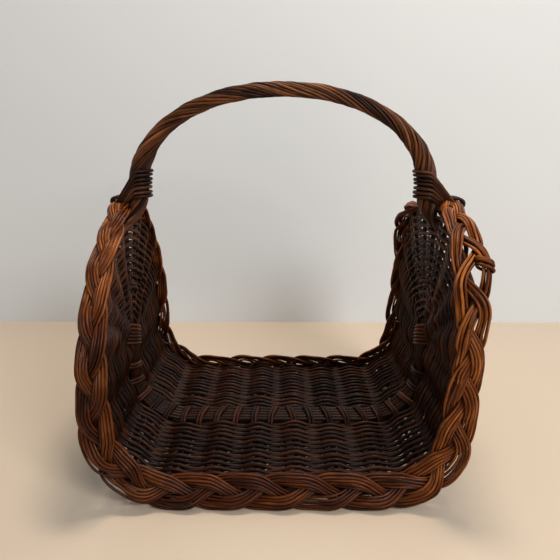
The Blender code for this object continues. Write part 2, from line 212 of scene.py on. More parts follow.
class Bundle:
    """Collects rods and makes one mesh object of them."""

    def __init__(self, name, slot):
        self.name = name
        self.slot = slot
        self.verts = []
        self.quads = []
        self.tris = []
        self.grain = []
        self.tone = []
        self.cut = []
        self.count = 0

    def add(self, path, up, radius, sides=8, closed=False, tone=0.5, seed=None):
        path = np.asarray(path, float)
        count = len(path)
        radius = np.broadcast_to(np.asarray(radius, float), (count,))
        if closed:
            along = np.roll(path, -1, 0) - np.roll(path, 1, 0)
        else:
            along = np.gradient(path, axis=0)
        along = along / np.linalg.norm(along, axis=1, keepdims=True)
        side = np.cross(along, up)
        side = side / np.linalg.norm(side, axis=1, keepdims=True)
        top = np.cross(side, along)
        steps = np.linalg.norm(np.diff(path, axis=0), axis=1)
        length = np.concatenate([[0], np.cumsum(steps)])
        if seed is None:
            seed = rng.uniform(0, 100)
        angle = 2 * math.pi * np.arange(sides) / sides + rng.uniform(0, 6)
        ring = np.cos(angle)[None, :, None] * side[:, None, :]
        ring = ring + np.sin(angle)[None, :, None] * top[:, None, :]
        stations = [path[:, None, :] + ring * radius[:, None, None]]
        station_length = [length]
        station_cut = [np.zeros(count)]
        if not closed:
            first = path[0] - along[0] * radius[0] * 0.25 + ring[0] * radius[0] * 0.78
            last = path[-1] + along[-1] * radius[-1] * 0.25 + ring[-1] * radius[-1] * 0.78
            stations = [first[None], stations[0], last[None]]
            station_length = [[length[0]], length, [length[-1]]]
            station_cut = [[1.0], np.zeros(count), [1.0]]
        verts = np.concatenate(stations)
        lengths = np.concatenate(station_length)
        cuts = np.concatenate(station_cut)
        rings = len(verts)
        grain = np.stack([
            np.broadcast_to(np.cos(angle) * 0.9 + seed * 7.1, (rings, sides)),
            np.broadcast_to(np.sin(angle) * 0.9 + seed * 3.3, (rings, sides)),
            np.broadcast_to(lengths[:, None] * 22.0 + seed * 11.7, (rings, sides)),
        ], -1)
        index = np.arange(rings * sides).reshape(rings, sides) + self.count
        following = np.roll(index, -1, 0) if closed else index[1:]
        ring_index = index if closed else index[:-1]
        quads = np.stack([
            ring_index, following, np.roll(following, -1, 1), np.roll(ring_index, -1, 1),
        ], -1).reshape(-1, 4)
        verts = verts.reshape(-1, 3)
        grain = grain.reshape(-1, 3)
        cut = np.repeat(cuts, sides)
        if not closed:
            centres = np.array([
                path[0] - along[0] * radius[0] * 0.30,
                path[-1] + along[-1] * radius[-1] * 0.30,
            ])
            first_centre = self.count + len(verts)
            verts = np.vstack([verts, centres])
            grain = np.vstack([grain, grain[[0, -1]]])
            cut = np.concatenate([cut, [1.0, 1.0]])
            start = index[0]
            end = index[-1]
            self.tris.append(np.stack([np.full(sides, first_centre), start, np.roll(start, -1)], -1))
            self.tris.append(np.stack([np.full(sides, first_centre + 1), np.roll(end, -1), end], -1))
        self.verts.append(verts)
        self.quads.append(quads)
        self.grain.append(grain)
        self.tone.append(np.full(len(verts), tone))
        self.cut.append(cut)
        self.count += len(verts)

    def make(self, material, *nodes):
        verts = np.concatenate(self.verts).astype(np.float32)
        quads = np.concatenate(self.quads)
        tris = np.concatenate(self.tris) if self.tris else np.zeros((0, 3), int)
        mesh = bpy.data.meshes.new(self.name)
        mesh.vertices.add(len(verts))
        mesh.vertices.foreach_set("co", verts.ravel())
        corners = np.concatenate([quads.ravel(), tris.ravel()]).astype(np.int32)
        starts = np.concatenate([np.arange(len(quads)) * 4, len(quads) * 4 + np.arange(len(tris)) * 3])
        mesh.loops.add(len(corners))
        mesh.loops.foreach_set("vertex_index", corners)
        mesh.polygons.add(len(starts))
        mesh.polygons.foreach_set("loop_start", starts.astype(np.int32))
        mesh.update(calc_edges=True)
        mesh.shade_smooth()
        grain = mesh.attributes.new("grain", "FLOAT_VECTOR", "POINT")
        grain.data.foreach_set("vector", np.concatenate(self.grain).astype(np.float32).ravel())
        tone = mesh.attributes.new("tone", "FLOAT", "POINT")
        tone.data.foreach_set("value", np.concatenate(self.tone).astype(np.float32))
        cut = mesh.attributes.new("cut", "FLOAT", "POINT")
        cut.data.foreach_set("value", np.concatenate(self.cut).astype(np.float32))
        mesh.materials.append(material)
        obj = bpy.data.objects.new(self.name, mesh)
        bpy.context.scene.collection.objects.link(obj)
        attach(obj, "root")
        if nodes:
            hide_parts(*nodes)
        return obj


def rod_radius(length, radius, knots=True):
    """Radius along a rod: slow swelling, and a small knot here and there."""
    total = float(length[-1]) if len(length) else 0.0
    result = np.full(len(length), radius)
    for wave, share in ((0.21, 0.05), (0.083, 0.035), (0.031, 0.02)):
        result = result * (1 + share * np.sin(2 * math.pi * (length / wave + rng.uniform())))
    if knots:
        for place in np.arange(rng.uniform(0.02, 0.09), total, 0.085):
            spot = place + rng.uniform(-0.03, 0.03)
            result = result * (1 + 0.13 * np.exp(-((length - spot) / 0.0022) ** 2))
    return result


def path_length(path):
    return np.concatenate([[0], np.cumsum(np.linalg.norm(np.diff(path, axis=0), axis=1))])


# ---- Materials ----------------------------------------------------------------------------------

CUT_COLOUR = (0.16, 0.085, 0.042, 1)      # the pale wood of a rod's cut end
BUMP = 0.35
# Painted shade: the willow is darkened near the floor and on the left, where the basket gets less light.
PAINTED_SHADE_SHARE = 0.37              # painted shade: share of the willow's colour left near the floor and on the left
PAINTED_SHADE_COLOUR = (PAINTED_SHADE_SHARE, PAINTED_SHADE_SHARE * 0.84, PAINTED_SHADE_SHARE * 0.74, 1)
PAINTED_SHADE_RANGE = (0.02, 0.26)     # over which, along the direction below, the painted shade fades away
PAINTED_SHADE_DIRECTION = (0.42, 0.0, 1.0)
HOLLOW_REACH = 0.007          # painted shade: a surface is darker where others lie nearer than this, and open surfaces are painted lighter


def willow(name, dark, middle, light, roughness, gloss):
    """Stained and varnished willow: streaks along each rod, specks, a tone of its own for each rod, and
    painted shade near the floor, on the left and in the crevices between rods.
    """
    material = bpy.data.materials.new(name)
    material.use_nodes = True
    tree = material.node_tree
    nodes = tree.nodes
    links = tree.links
    shader = nodes["Principled BSDF"]

    def node(kind, **values):
        made = nodes.new(kind)
        for key, value in values.items():
            setattr(made, key, value)
        return made

    def attribute(label, output):
        made = node("ShaderNodeAttribute", attribute_name=label)
        return made.outputs[output]

    def math_node(operation, a, b):
        made = node("ShaderNodeMath", operation=operation)
        for socket, value in zip(made.inputs, (a, b)):
            if isinstance(value, (int, float)):
                socket.default_value = value
            else:
                links.new(value, socket)
        return made.outputs[0]

    grain = attribute("grain", "Vector")
    tone = attribute("tone", "Fac")
    cut = attribute("cut", "Fac")

    streak = node("ShaderNodeTexNoise")
    streak.inputs["Scale"].default_value = 1.6
    streak.inputs["Detail"].default_value = 5.0
    streak.inputs["Roughness"].default_value = 0.62
    links.new(grain, streak.inputs["Vector"])

    fine = node("ShaderNodeTexNoise")
    fine.inputs["Scale"].default_value = 5.5
    fine.inputs["Detail"].default_value = 3.0
    links.new(grain, fine.inputs["Vector"])

    specks = node("ShaderNodeTexNoise")
    specks.inputs["Scale"].default_value = 420.0
    specks.inputs["Detail"].default_value = 2.0
    place = node("ShaderNodeTexCoord")
    links.new(place.outputs["Object"], specks.inputs["Vector"])

    patches = node("ShaderNodeTexNoise")
    patches.inputs["Scale"].default_value = 26.0
    patches.inputs["Detail"].default_value = 2.0
    links.new(place.outputs["Object"], patches.inputs["Vector"])

    mixed = math_node("MULTIPLY", streak.outputs["Fac"], 0.75)
    mixed = math_node("ADD", mixed, math_node("MULTIPLY", fine.outputs["Fac"], 0.30))
    mixed = math_node("ADD", mixed, math_node("MULTIPLY", tone, 0.50))
    mixed = math_node("ADD", mixed, math_node("MULTIPLY", patches.outputs["Fac"], 0.35))
    mixed = math_node("SUBTRACT", mixed, 0.45)

    ramp = node("ShaderNodeValToRGB")
    ramp.color_ramp.elements[0].position = 0.28
    ramp.color_ramp.elements[0].color = (*dark, 1)
    ramp.color_ramp.elements[1].position = 0.80
    ramp.color_ramp.elements[1].color = (*light, 1)
    element = ramp.color_ramp.elements.new(0.52)
    element.color = (*middle, 1)
    links.new(mixed, ramp.inputs["Fac"])

    ends = node("ShaderNodeMix", data_type="RGBA")
    ends.inputs["B"].default_value = CUT_COLOUR
    links.new(cut, ends.inputs["Factor"])
    links.new(ramp.outputs["Color"], ends.inputs["A"])

    # Painted shade: the colour is darkened near the floor and on the left, standing in for light that falls
    # from above and from the right.
    lowness = node("ShaderNodeVectorMath", operation="DOT_PRODUCT")
    lowness.inputs[1].default_value = PAINTED_SHADE_DIRECTION
    links.new(place.outputs["Object"], lowness.inputs[0])
    fade = node("ShaderNodeMapRange", interpolation_type="SMOOTHSTEP")
    fade.inputs["From Min"].default_value = PAINTED_SHADE_RANGE[0]
    fade.inputs["From Max"].default_value = PAINTED_SHADE_RANGE[1]
    fade.inputs["To Min"].default_value = 1.0
    fade.inputs["To Max"].default_value = 0.0
    links.new(lowness.outputs["Value"], fade.inputs["Value"])
    painted_shade = node("ShaderNodeMix", data_type="RGBA", blend_type="MULTIPLY")
    painted_shade.inputs["B"].default_value = PAINTED_SHADE_COLOUR
    links.new(fade.outputs["Result"], painted_shade.inputs["Factor"])
    links.new(ends.outputs["Result"], painted_shade.inputs["A"])

    # Painted shade in the crevices between rods, from ambient occlusion, with open surfaces painted up to 18
    # % lighter.
    hollow = node("ShaderNodeAmbientOcclusion", samples=4)
    hollow.inputs["Distance"].default_value = HOLLOW_REACH
    crevice_shade = node("ShaderNodeMapRange")
    crevice_shade.inputs["From Min"].default_value = 0.15
    crevice_shade.inputs["From Max"].default_value = 0.80
    crevice_shade.inputs["To Min"].default_value = 0.10
    crevice_shade.inputs["To Max"].default_value = 1.18
    links.new(hollow.outputs["AO"], crevice_shade.inputs["Value"])
    crevice_shaded = node("ShaderNodeVectorMath", operation="SCALE")
    links.new(painted_shade.outputs["Result"], crevice_shaded.inputs[0])
    links.new(crevice_shade.outputs["Result"], crevice_shaded.inputs["Scale"])
    links.new(crevice_shaded.outputs["Vector"], shader.inputs["Base Color"])

    sheen = node("ShaderNodeMapRange")
    sheen.inputs["To Min"].default_value = roughness - 0.10
    sheen.inputs["To Max"].default_value = roughness + 0.14
    links.new(streak.outputs["Fac"], sheen.inputs["Value"])
    links.new(sheen.outputs["Result"], shader.inputs["Roughness"])

    height = math_node("ADD", streak.outputs["Fac"], math_node("MULTIPLY", fine.outputs["Fac"], 0.5))
    height = math_node("ADD", height, math_node("MULTIPLY", specks.outputs["Fac"], 0.25))
    relief = node("ShaderNodeBump")
    relief.inputs["Strength"].default_value = BUMP
    relief.inputs["Distance"].default_value = 0.0006
    links.new(height, relief.inputs["Height"])
    links.new(relief.outputs["Normal"], shader.inputs["Normal"])

    shader.inputs["Coat Weight"].default_value = gloss * 0.5
    shader.inputs["Coat Roughness"].default_value = 0.25
    shader.inputs["Specular IOR Level"].default_value = gloss * 0.5
    shader.inputs["Metallic"].default_value = 0.0
    return material


border_willow = willow(
    "border_willow", dark=(0.010, 0.0020, 0.0005), middle=(0.086, 0.0190, 0.0032),
    light=(0.440, 0.140, 0.0260), roughness=0.42, gloss=0.20)
# Painted shade: the weavers' and stakes' willow is much darker than the border's, standing in for the dim
# inside of the basket.
weaver_willow = willow(
    "weaver_willow", dark=(0.006, 0.0018, 0.0006), middle=(0.029, 0.0082, 0.0028),
    light=(0.125, 0.039, 0.013), roughness=0.50, gloss=0.17)
stake_willow = willow(
    "stake_willow", dark=(0.005, 0.0015, 0.0005), middle=(0.020, 0.0060, 0.0024),
    light=(0.072, 0.024, 0.009), roughness=0.50, gloss=0.15)
handle_willow = willow(
    "handle_willow", dark=(0.007, 0.0018, 0.0006), middle=(0.048, 0.0135, 0.0042),
    light=(0.220, 0.078, 0.025), roughness=0.42, gloss=0.20)
lashing_willow = willow(
    "lashing_willow", dark=(0.006, 0.0019, 0.0008), middle=(0.027, 0.0092, 0.0042),
    light=(0.095, 0.036, 0.017), roughness=0.48, gloss=0.18)


# ---- Border plait -------------------------------------------------------------------------------

def border_push(run, y):
    wall = np.abs(run) > np.where(run < 0, FAN_RUN[-1], FAN_RUN[1])
    bulge = np.where(run < 0, APEX_BULGE[-1], APEX_BULGE[1])
    return np.where(wall, bulge * np.exp(-(y / BORDER_BULGE_LENGTH) ** 2), 0.0)


def border_frame(step):
    """The border's middle line, its directions across and out of its face, and its half width.

    Also the share of the way round and the looseness of the plait at every point.
    """
    run, y, at, total, _ = ring_line(0.0, step)
    middle, normal = mat(run, y, -border_push(run, y))
    along = np.roll(middle, -1, 0) - np.roll(middle, 1, 0)
    along = along / np.linalg.norm(along, axis=1, keepdims=True)
    outward = np.cross(along, normal)
    outward = outward / np.linalg.norm(outward, axis=1, keepdims=True)
    angle = np.degrees(np.arctan2(run - FAN_RUN[1], -y))
    near_loose = np.exp(-((angle - LOOSE_ANGLE) / LOOSE_SPREAD) ** 2)
    loose = np.where((run > FAN_RUN[1]) & (y < 0), near_loose, 0.0)
    low = np.clip((0.15 - middle[:, 2]) / 0.11, 0, 1)
    tilt = PLAIT_TILT * low * low * (3 - 2 * low)
    left_half = np.interp(middle[:, 2], *PLAIT_HALF[-1])
    right_half = np.interp(middle[:, 2], *PLAIT_HALF[1])
    half = np.where(run < 0, left_half, right_half)
    shift = half * np.cos(tilt) + 0.0072 * np.sin(tilt) - PLAIT_HALF_HEIGHT - 0.0060 * loose
    shift = shift - np.where(run > 0, 0.0022, 0.0) * (1 - low)
    shift = shift + np.where(run < 0, 0.0040, 0.0) * np.clip((middle[:, 2] - 0.28) / 0.05, 0, 1)
    corner = np.clip((-run - FLAT_RUN) / (CORNER_RADIUS * math.pi / 2), 0, 1)
    shift = shift + 0.0045 * np.sin(math.pi * corner)
    cos, sin = np.cos(tilt)[:, None], np.sin(tilt)[:, None]
    across = normal * cos - outward * sin
    face = outward * cos + normal * sin
    return middle + normal * shift[:, None], across, face, half, at / total, loose


def settle(places, radii, limit, rounds):
    """Pushes crossing rods apart, so that they cut into each other less, and keeps each strand smooth."""
    start = places.copy()
    rods = places.shape[1]
    for i in range(rounds):
        move = np.zeros_like(places)
        for a in range(rods):
            for b in range(a + 1, rods):
                apart = places[:, a] - places[:, b]
                distance = np.linalg.norm(apart, axis=1) + 1e-9
                need = np.maximum(radii[a] + radii[b] - distance, 0) / distance * 0.5
                push = apart * need[:, None]
                move[:, a] += push
                move[:, b] -= push
        places = places + move * 0.55
        neighbours = (np.roll(places, 1, 0) + np.roll(places, -1, 0)) / 2
        places = places * 0.82 + neighbours * 0.18
        moved = places - start
        strands = moved.reshape(len(places), 3, -1, 2).mean(2)
        together = np.repeat(strands, rods // 3, axis=1)
        places = places + (together - moved) * (0.25 if i < rounds * 0.8 else 0.08)
        if i < rounds * 0.6:
            places = places + (start - places) * 0.03
        strands = places[..., 0].reshape(len(places), 3, -1)
        centres = strands.mean(2, keepdims=True)
        strands = centres + np.clip(strands - centres, -STRAND_REACH, STRAND_REACH)
        places[..., 0] = np.clip(strands.reshape(len(places), rods), -limit, limit)
    return places


def strand_places(share, strand, loose, half, radii):
    """Where each rod of one strand lies, across the border and out of its face, before settling."""
    wobble = 0.12 * np.sin(2 * math.pi * (share * 5 + strand / 3)) + 0.10 * np.sin(2 * math.pi * share * 11)
    phase = 2 * math.pi * (share * PLAIT_TURNS + strand / 3) + wobble * 0.6
    middle_rod = (len(radii) - 1) / 2
    spacing = BORDER_ROD_SPACING * np.interp(half, (0.014, 0.0215), (0.86, 1.0)) * (1 - 0.42 * loose)
    swing = (half - middle_rod * spacing - BORDER_ROD) / 0.96
    across = swing * (1.12 * np.sin(phase) + 0.16 * np.sin(3 * phase))
    above = -PLAIT_LIFT * np.sin(2 * phase)
    tilt = -PLAIT_SHINGLE * np.cos(3 * phase)
    slope = np.gradient(across, share) / BORDER_LENGTH
    stretch = np.sqrt(1 + slope ** 2)
    rods = []
    for rod in range(len(radii)):
        offset = (rod - middle_rod) * spacing * stretch
        wander = 0.00035 * np.sin(2 * math.pi * (share * rng.integers(9, 33) + rng.uniform()))
        lift = 0.0004 * np.sin(2 * math.pi * (share * rng.integers(9, 33) + rng.uniform()))
        lift = lift - STRAND_ARCH * ((rod - middle_rod) / middle_rod) ** 2 - 0.0038 * loose * (rod % 2)
        rods.append(np.stack([across + offset + wander, above + offset * tilt + lift], -1))
    return rods


def make_border():
    middle, across, face, half, share, loose = border_frame(BORDER_STEP)
    count = len(middle)
    radii = BORDER_ROD * rng.uniform(0.86, 1.12, (3, BORDER_RODS_PER_STRAND))
    rods = []
    for strand in range(3):
        rods += strand_places(share, strand, loose, half, radii[strand])
    places = settle(np.stack(rods, 1), radii.ravel(), half[:, None] - radii.ravel(), SETTLE_ROUNDS)
    for strand in range(3):
        bundle = Bundle(f"border_strand_{strand + 1}", "border_willow")
        strand_tone = rng.uniform(0.52, 0.64)
        for rod in range(BORDER_RODS_PER_STRAND):
            k = strand * BORDER_RODS_PER_STRAND + rod
            path = middle + across * places[:, k, :1] + face * places[:, k, 1:]
            radius = rod_radius(path_length(path), radii[strand, rod])
            cuts = np.sort(rng.choice(count // CUT_GRID, 2, replace=False)) * CUT_GRID
            for start, end in zip(cuts, np.append(cuts[1:], cuts[0] + count)):
                index = np.arange(start, end + 7)
                sink = np.clip((index - (end - 8)) / 14, 0, 1) + np.clip((start + 6 - index) / 6, 0, 1)
                piece = path[index % count]
                piece = piece + (middle[index % count] - piece) * (0.30 * sink)[:, None]
                tone = strand_tone + rng.normal(0, 0.09) - (0.25 if rng.uniform() < 0.1 else 0)
                bundle.add(piece, face[index % count], radius[index % count] * (1 - 0.35 * sink),
                           sides=10, tone=tone)
        bundle.make(border_willow, f"plait_strand_{strand + 1}")
    return middle, across, face, half, places


# ---- Weaving ------------------------------------------------------------------------------------

CROWDED_ROWS = 8              # so near the fan's centre that a row takes only every other fan stake


def make_weaving():
    first = PLAIT_HALF_THICKNESS - WEAVER_ROD * 1.2
    last = HALF_DEPTH - LONG_STICKS * LONG_STICK_PITCH / 2 - WEAVER_ROD * 0.9
    rows = int(round((last - first) / WEAVER_PITCH)) + 1
    rounds = 5
    bundles = [Bundle(f"weaving_{i + 1}", "weaver_willow") for i in range(rounds)]
    for row in range(rows):
        inset = first + (last - first) * row / (rows - 1)
        run, y, at, total, stakes = ring_line(inset, WEAVER_STEP)
        if row >= rows - CROWDED_ROWS:
            fan_place = np.arange(len(stakes)) % (CROSS_STICKS + FAN_STAKES) - CROSS_STICKS
            stakes = stakes[~((fan_place >= 0) & (fan_place % 2 == 0))]
        count = len(stakes)
        index = np.interp(at, np.concatenate([[stakes[-1] - total], stakes, [stakes[0] + total]]),
                          np.arange(-1, count + 1))
        parity = row + (count % 2) * (at / total)
        over = np.cos(math.pi * (index + parity))
        height = (STAKE_ROD + WEAVER_ROD * 0.9) * over * np.abs(over)
        height = height * (1 + 0.14 * np.sin(2 * math.pi * (at / total * 9 + rng.uniform())))
        drift = 0.0006 * np.sin(2 * math.pi * (at / total * rng.integers(14, 34) + rng.uniform()))
        shift = 0.0007 * np.sin(math.pi * (index + row))
        path, normal = mat(run, y + (drift + shift) * np.sign(y), height)
        radius = rod_radius(at, WEAVER_ROD * rng.uniform(0.88, 1.08))
        bundle = bundles[min(row * rounds // rows, rounds - 1)]
        steps = len(run)
        cuts = np.sort(rng.choice(steps // CUT_GRID, 2, replace=False)) * CUT_GRID
        for start, end in zip(cuts, np.append(cuts[1:], cuts[0] + steps)):
            piece = np.arange(start, end + 4) % steps
            bundle.add(path[piece], normal[piece], radius[piece], sides=8, tone=rng.uniform(0.3, 0.75))
    for i, bundle in enumerate(bundles):
        bundle.make(weaver_willow, f"weaver_round_{i + 1}")


# ---- Stakes -------------------------------------------------------------------------------------

def make_cross_sticks():
    bundle = Bundle("cross_sticks", "stake_willow")
    span = FAN_RUN[-1] + FAN_RUN[1]
    reach = HALF_DEPTH - 0.004
    names = []
    for number in range(1, CROSS_STICKS + 1):
        run = -FAN_RUN[-1] + (number - 0.5) * span / CROSS_STICKS
        y = np.linspace(-reach, reach, 40)
        bow = 0.0006 * np.sin(y * 22 + rng.uniform(0, 6))
        path, normal = mat(run + bow, y, 0.0)
        bundle.add(path, normal, rod_radius(y + reach, STAKE_ROD), sides=9, tone=rng.uniform(0.2, 0.8))
        names.append(f"cross_stick_{number:02d}")
    bundle.make(stake_willow, *names)


def make_long_sticks():
    bundle = Bundle("long_sticks", "stake_willow")
    names = []
    rise = STAKE_ROD * 2 + 0.0002
    for number in range(1, LONG_STICKS + 1):
        place = number - (LONG_STICKS + 1) // 2
        y0 = place * LONG_STICK_PITCH
        angle = math.pi / 2 + place * FAN_STEP
        halves = []
        for side in (-1, 1):
            end = dome_radius(side, angle, 0.004)
            turn = 0.02 if place == 0 else abs(y0 / math.cos(angle))
            straight = np.linspace(0.0, FAN_RUN[side] + turn * math.sin(angle), 90, endpoint=False)
            radius = np.linspace(turn, end, 36)
            run = np.concatenate([straight, FAN_RUN[side] + radius * math.sin(angle)])
            y = np.concatenate([np.full(90, y0), -radius * math.cos(angle)])
            share = np.clip((run - FAN_RUN[side] + 0.02) / 0.032, 0, 1)
            height = rise * (1 - share * share * (3 - 2 * share))
            halves.append((side * run, y, height))
        run = np.concatenate([halves[0][0][:0:-1], halves[1][0]])
        y = np.concatenate([halves[0][1][:0:-1], halves[1][1]])
        height = np.concatenate([halves[0][2][:0:-1], halves[1][2]])
        path, normal = mat(run, y, height)
        radius = rod_radius(path_length(path), STAKE_ROD)
        bundle.add(path, normal, radius, sides=9, tone=rng.uniform(0.3, 0.9))
        names.append(f"long_stick_{number}")
    bundle.make(stake_willow, *names)
    make_spine_wraps(rise)


def make_spine_wraps(rise):
    """Short rods hooked over the long sticks, and ribs lashing the heart of each fan."""
    bundle = Bundle("spine_wraps", "weaver_willow")
    half = LONG_STICKS * LONG_STICK_PITCH / 2
    share = np.linspace(-1, 1, 22)
    hump = (1 - share ** 4) ** 0.8

    def wrap(place, skew, width, top, tone):
        path, normal = mat(place + skew * share, width * share, -0.006 + (top + 0.006) * hump)
        bundle.add(path, normal, WEAVER_ROD * rng.uniform(0.85, 1.05), sides=8, tone=tone)

    for place in np.arange(-FAN_RUN[-1] + 0.045, FAN_RUN[1] - 0.035, 0.0255):
        skew = rng.uniform(0.003, 0.007) * (1 if place < 0 else -1)
        for twin in (0, 1):
            top = rise + STAKE_ROD + WEAVER_ROD
            wrap(place + twin * 0.0046, skew, half + 0.004, top, rng.uniform(0.3, 1.0))
    for side in (-1, 1):
        for rib in range(6):
            wrap(side * (FAN_RUN[side] - 0.014 + rib * 0.0050), -side * 0.008, 0.021 - 0.0010 * rib,
                 rise + STAKE_ROD + WEAVER_ROD * 1.2, rng.uniform(0.5, 1.0))
    for place in range(6):
        run = np.arange(-FAN_RUN[-1] - 0.010, FAN_RUN[1] + 0.010, 0.006)
        y = (place - 2.5) * 0.0066 + 0.0006 * np.sin(run * 31 + place)
        path, normal = mat(run, y, -(STAKE_ROD + WEAVER_ROD) * 0.98)
        bundle.add(path, normal, rod_radius(run - run[0], WEAVER_ROD), sides=8, tone=rng.uniform(0.3, 0.8))
    bundle.make(weaver_willow)


def make_fan_sticks():
    for side, word in ((-1, "left"), (1, "right")):
        bundle = Bundle(f"fan_sticks_{word}", "stake_willow")
        names = []
        for number, k in enumerate((1, 2, 8, 9), start=1):
            angle = k * FAN_STEP
            poke = 0.019 if side < 0 and k > 5 else -0.004
            radius = np.linspace(0.024, dome_radius(side, angle, 0.0) + poke, 40)
            run = side * (FAN_RUN[side] + radius * math.sin(angle))
            path, normal = mat(run, -radius * math.cos(angle), 0.0)
            bundle.add(path, normal, rod_radius(radius, STAKE_ROD), sides=9, tone=rng.uniform(0.2, 0.8))
            names.append(f"fan_stick_{word}_{number}")
        bundle.make(stake_willow, *names)


# ---- Handle -------------------------------------------------------------------------------------

FOOT_INSET = {-1: 0.0185, 1: 0.0135}     # how far inside the wall's middle the arch starts
FOOT_BOTTOM = 0.292
FOOT_SINK = -0.005            # the foot ends outside the weaving, pushed down through it
ARCH_TOP = HANDLE_TOP - 0.0096        # the bow's middle, with the rods' thickness above it


def wall_point(side, z, inset):
    run = FAN_RUN[side] + (z - FAN_HEIGHT) / math.cos(WALL_LEAN[side])
    return mat(side * run, 0.0, inset)[0]


def handle_line(step):
    """The bow's middle line from the left foot to the right one."""
    left = wall_point(-1, SPRING_HEIGHT, FOOT_INSET[-1])
    right = wall_point(1, SPRING_HEIGHT, FOOT_INSET[1])
    half_span = (right[0] - left[0]) / 2
    middle = (right[0] + left[0]) / 2
    halves = []
    for side in (-1, 1):
        foot = []
        for z in np.linspace(FOOT_BOTTOM, SPRING_HEIGHT, 30, endpoint=False):
            share = (z - FOOT_BOTTOM) / (SPRING_HEIGHT - FOOT_BOTTOM)
            inset = FOOT_SINK + (FOOT_INSET[side] - FOOT_SINK) * math.sin(share * math.pi / 2)
            foot.append(wall_point(side, z, inset))
        share = np.sin(np.linspace(0, math.pi / 2, 120))
        out = (1 - share ** ARCH_POWER) ** (1 / ARCH_POWER)
        height = SPRING_HEIGHT + (ARCH_TOP - SPRING_HEIGHT) * share
        arch = np.stack([middle + side * half_span * out, np.zeros(120), height], -1)
        halves.append(np.vstack([foot, arch]))
    line = np.vstack([halves[0], halves[1][-2::-1]])
    length = path_length(line)
    at = np.linspace(0, length[-1], int(length[-1] / step))
    line = np.stack([np.interp(at, length, line[:, i]) for i in range(3)], -1)
    for _ in range(6):
        line[1:-1] = line[1:-1] * 0.5 + (line[:-2] + line[2:]) * 0.25
    return line, at


def make_handle():
    line, at = handle_line(HANDLE_STEP)
    total = at[-1]
    along = np.gradient(line, axis=0)
    along = along / np.linalg.norm(along, axis=1, keepdims=True)
    depth = np.broadcast_to(np.array([0.0, 1.0, 0.0]), line.shape)
    side = np.cross(along, depth)
    from_end = np.minimum(at, total - at)
    swell = np.exp(-(np.maximum(from_end - 0.075, 0) / 0.060) ** 2)
    flat = np.clip(1 - (from_end - 0.012) / 0.042, 0, 1) ** 1.5
    core = Bundle("handle_core", "handle_willow")
    core.add(line, depth, 0.0062 + 0.0030 * swell - 0.0060 * flat, sides=12, tone=0.3)
    core.make(handle_willow, "handle_bow")
    bundle = Bundle("handle_rods", "handle_willow")

    def wind(turn, radius, orbit, first, last, tone):
        splay = 1 + 0.3 * flat + 1.9 * flat ** 3
        offset = depth * (np.cos(turn) * splay)[:, None] + side * (np.sin(turn) * (1 - 0.75 * flat))[:, None]
        path = line + offset * orbit[:, None]
        bundle.add(path[first:last], offset[first:last], radius[first:last], sides=10, tone=tone)

    sway = 0.16 * np.sin(at * 24) + 0.10 * np.sin(at * 61 + 1)
    for rod in range(HANDLE_RODS):
        radius = rod_radius(at, HANDLE_ROD * rng.uniform(0.88, 1.12)) * (1 + 0.30 * swell - 0.2 * flat)
        orbit = 0.0076 + 0.0032 * swell + 0.0004 * np.sin(at * 50 + rod * 2.4) - 0.0012 * flat
        turn = 2 * math.pi * (at / HANDLE_TWIST + rod / HANDLE_RODS) + sway
        turn = turn + 0.07 * np.sin(at * 40 + rod * 1.7)
        wind(turn, radius, orbit, 0, len(at), rng.uniform(0.15, 0.9))
    at_one_foot = HANDLE_SHORT_RODS // 2
    for extra in range(HANDLE_SHORT_RODS):
        reach = int((0.13 + 0.03 * rng.uniform()) / HANDLE_STEP)
        first, last = (0, reach) if extra < at_one_foot else (len(at) - reach, len(at))
        taper = np.clip((from_end[first:last].max() - from_end) / 0.05, 0.15, 1)
        turn = 2 * math.pi * (at / HANDLE_TWIST + (extra % at_one_foot + 0.25) / at_one_foot) + sway
        orbit = 0.0074 + 0.0036 * swell - 0.0012 * flat
        wind(turn, HANDLE_ROD * 1.15 * taper, orbit, first, last, rng.uniform(0.15, 0.9))
    bundle.make(handle_willow, *[f"handle_rod_{i}" for i in range(1, 6)])


# ---- Lashings -----------------------------------------------------------------------------------

LASHING_TURNS = 7
LASHING_PITCH = 0.0054
LASHING_RADIUS = 0.0157       # of a turn round the handle
LASHING_REACH = {-1: (0.2060, 0.2240), 1: (0.2140, 0.2375)}     # how far out the first and last turns go
LASHING_END = {-1: 0.3235, 1: 0.3270}     # how high the first turn is there; the last is 8.5 mm lower


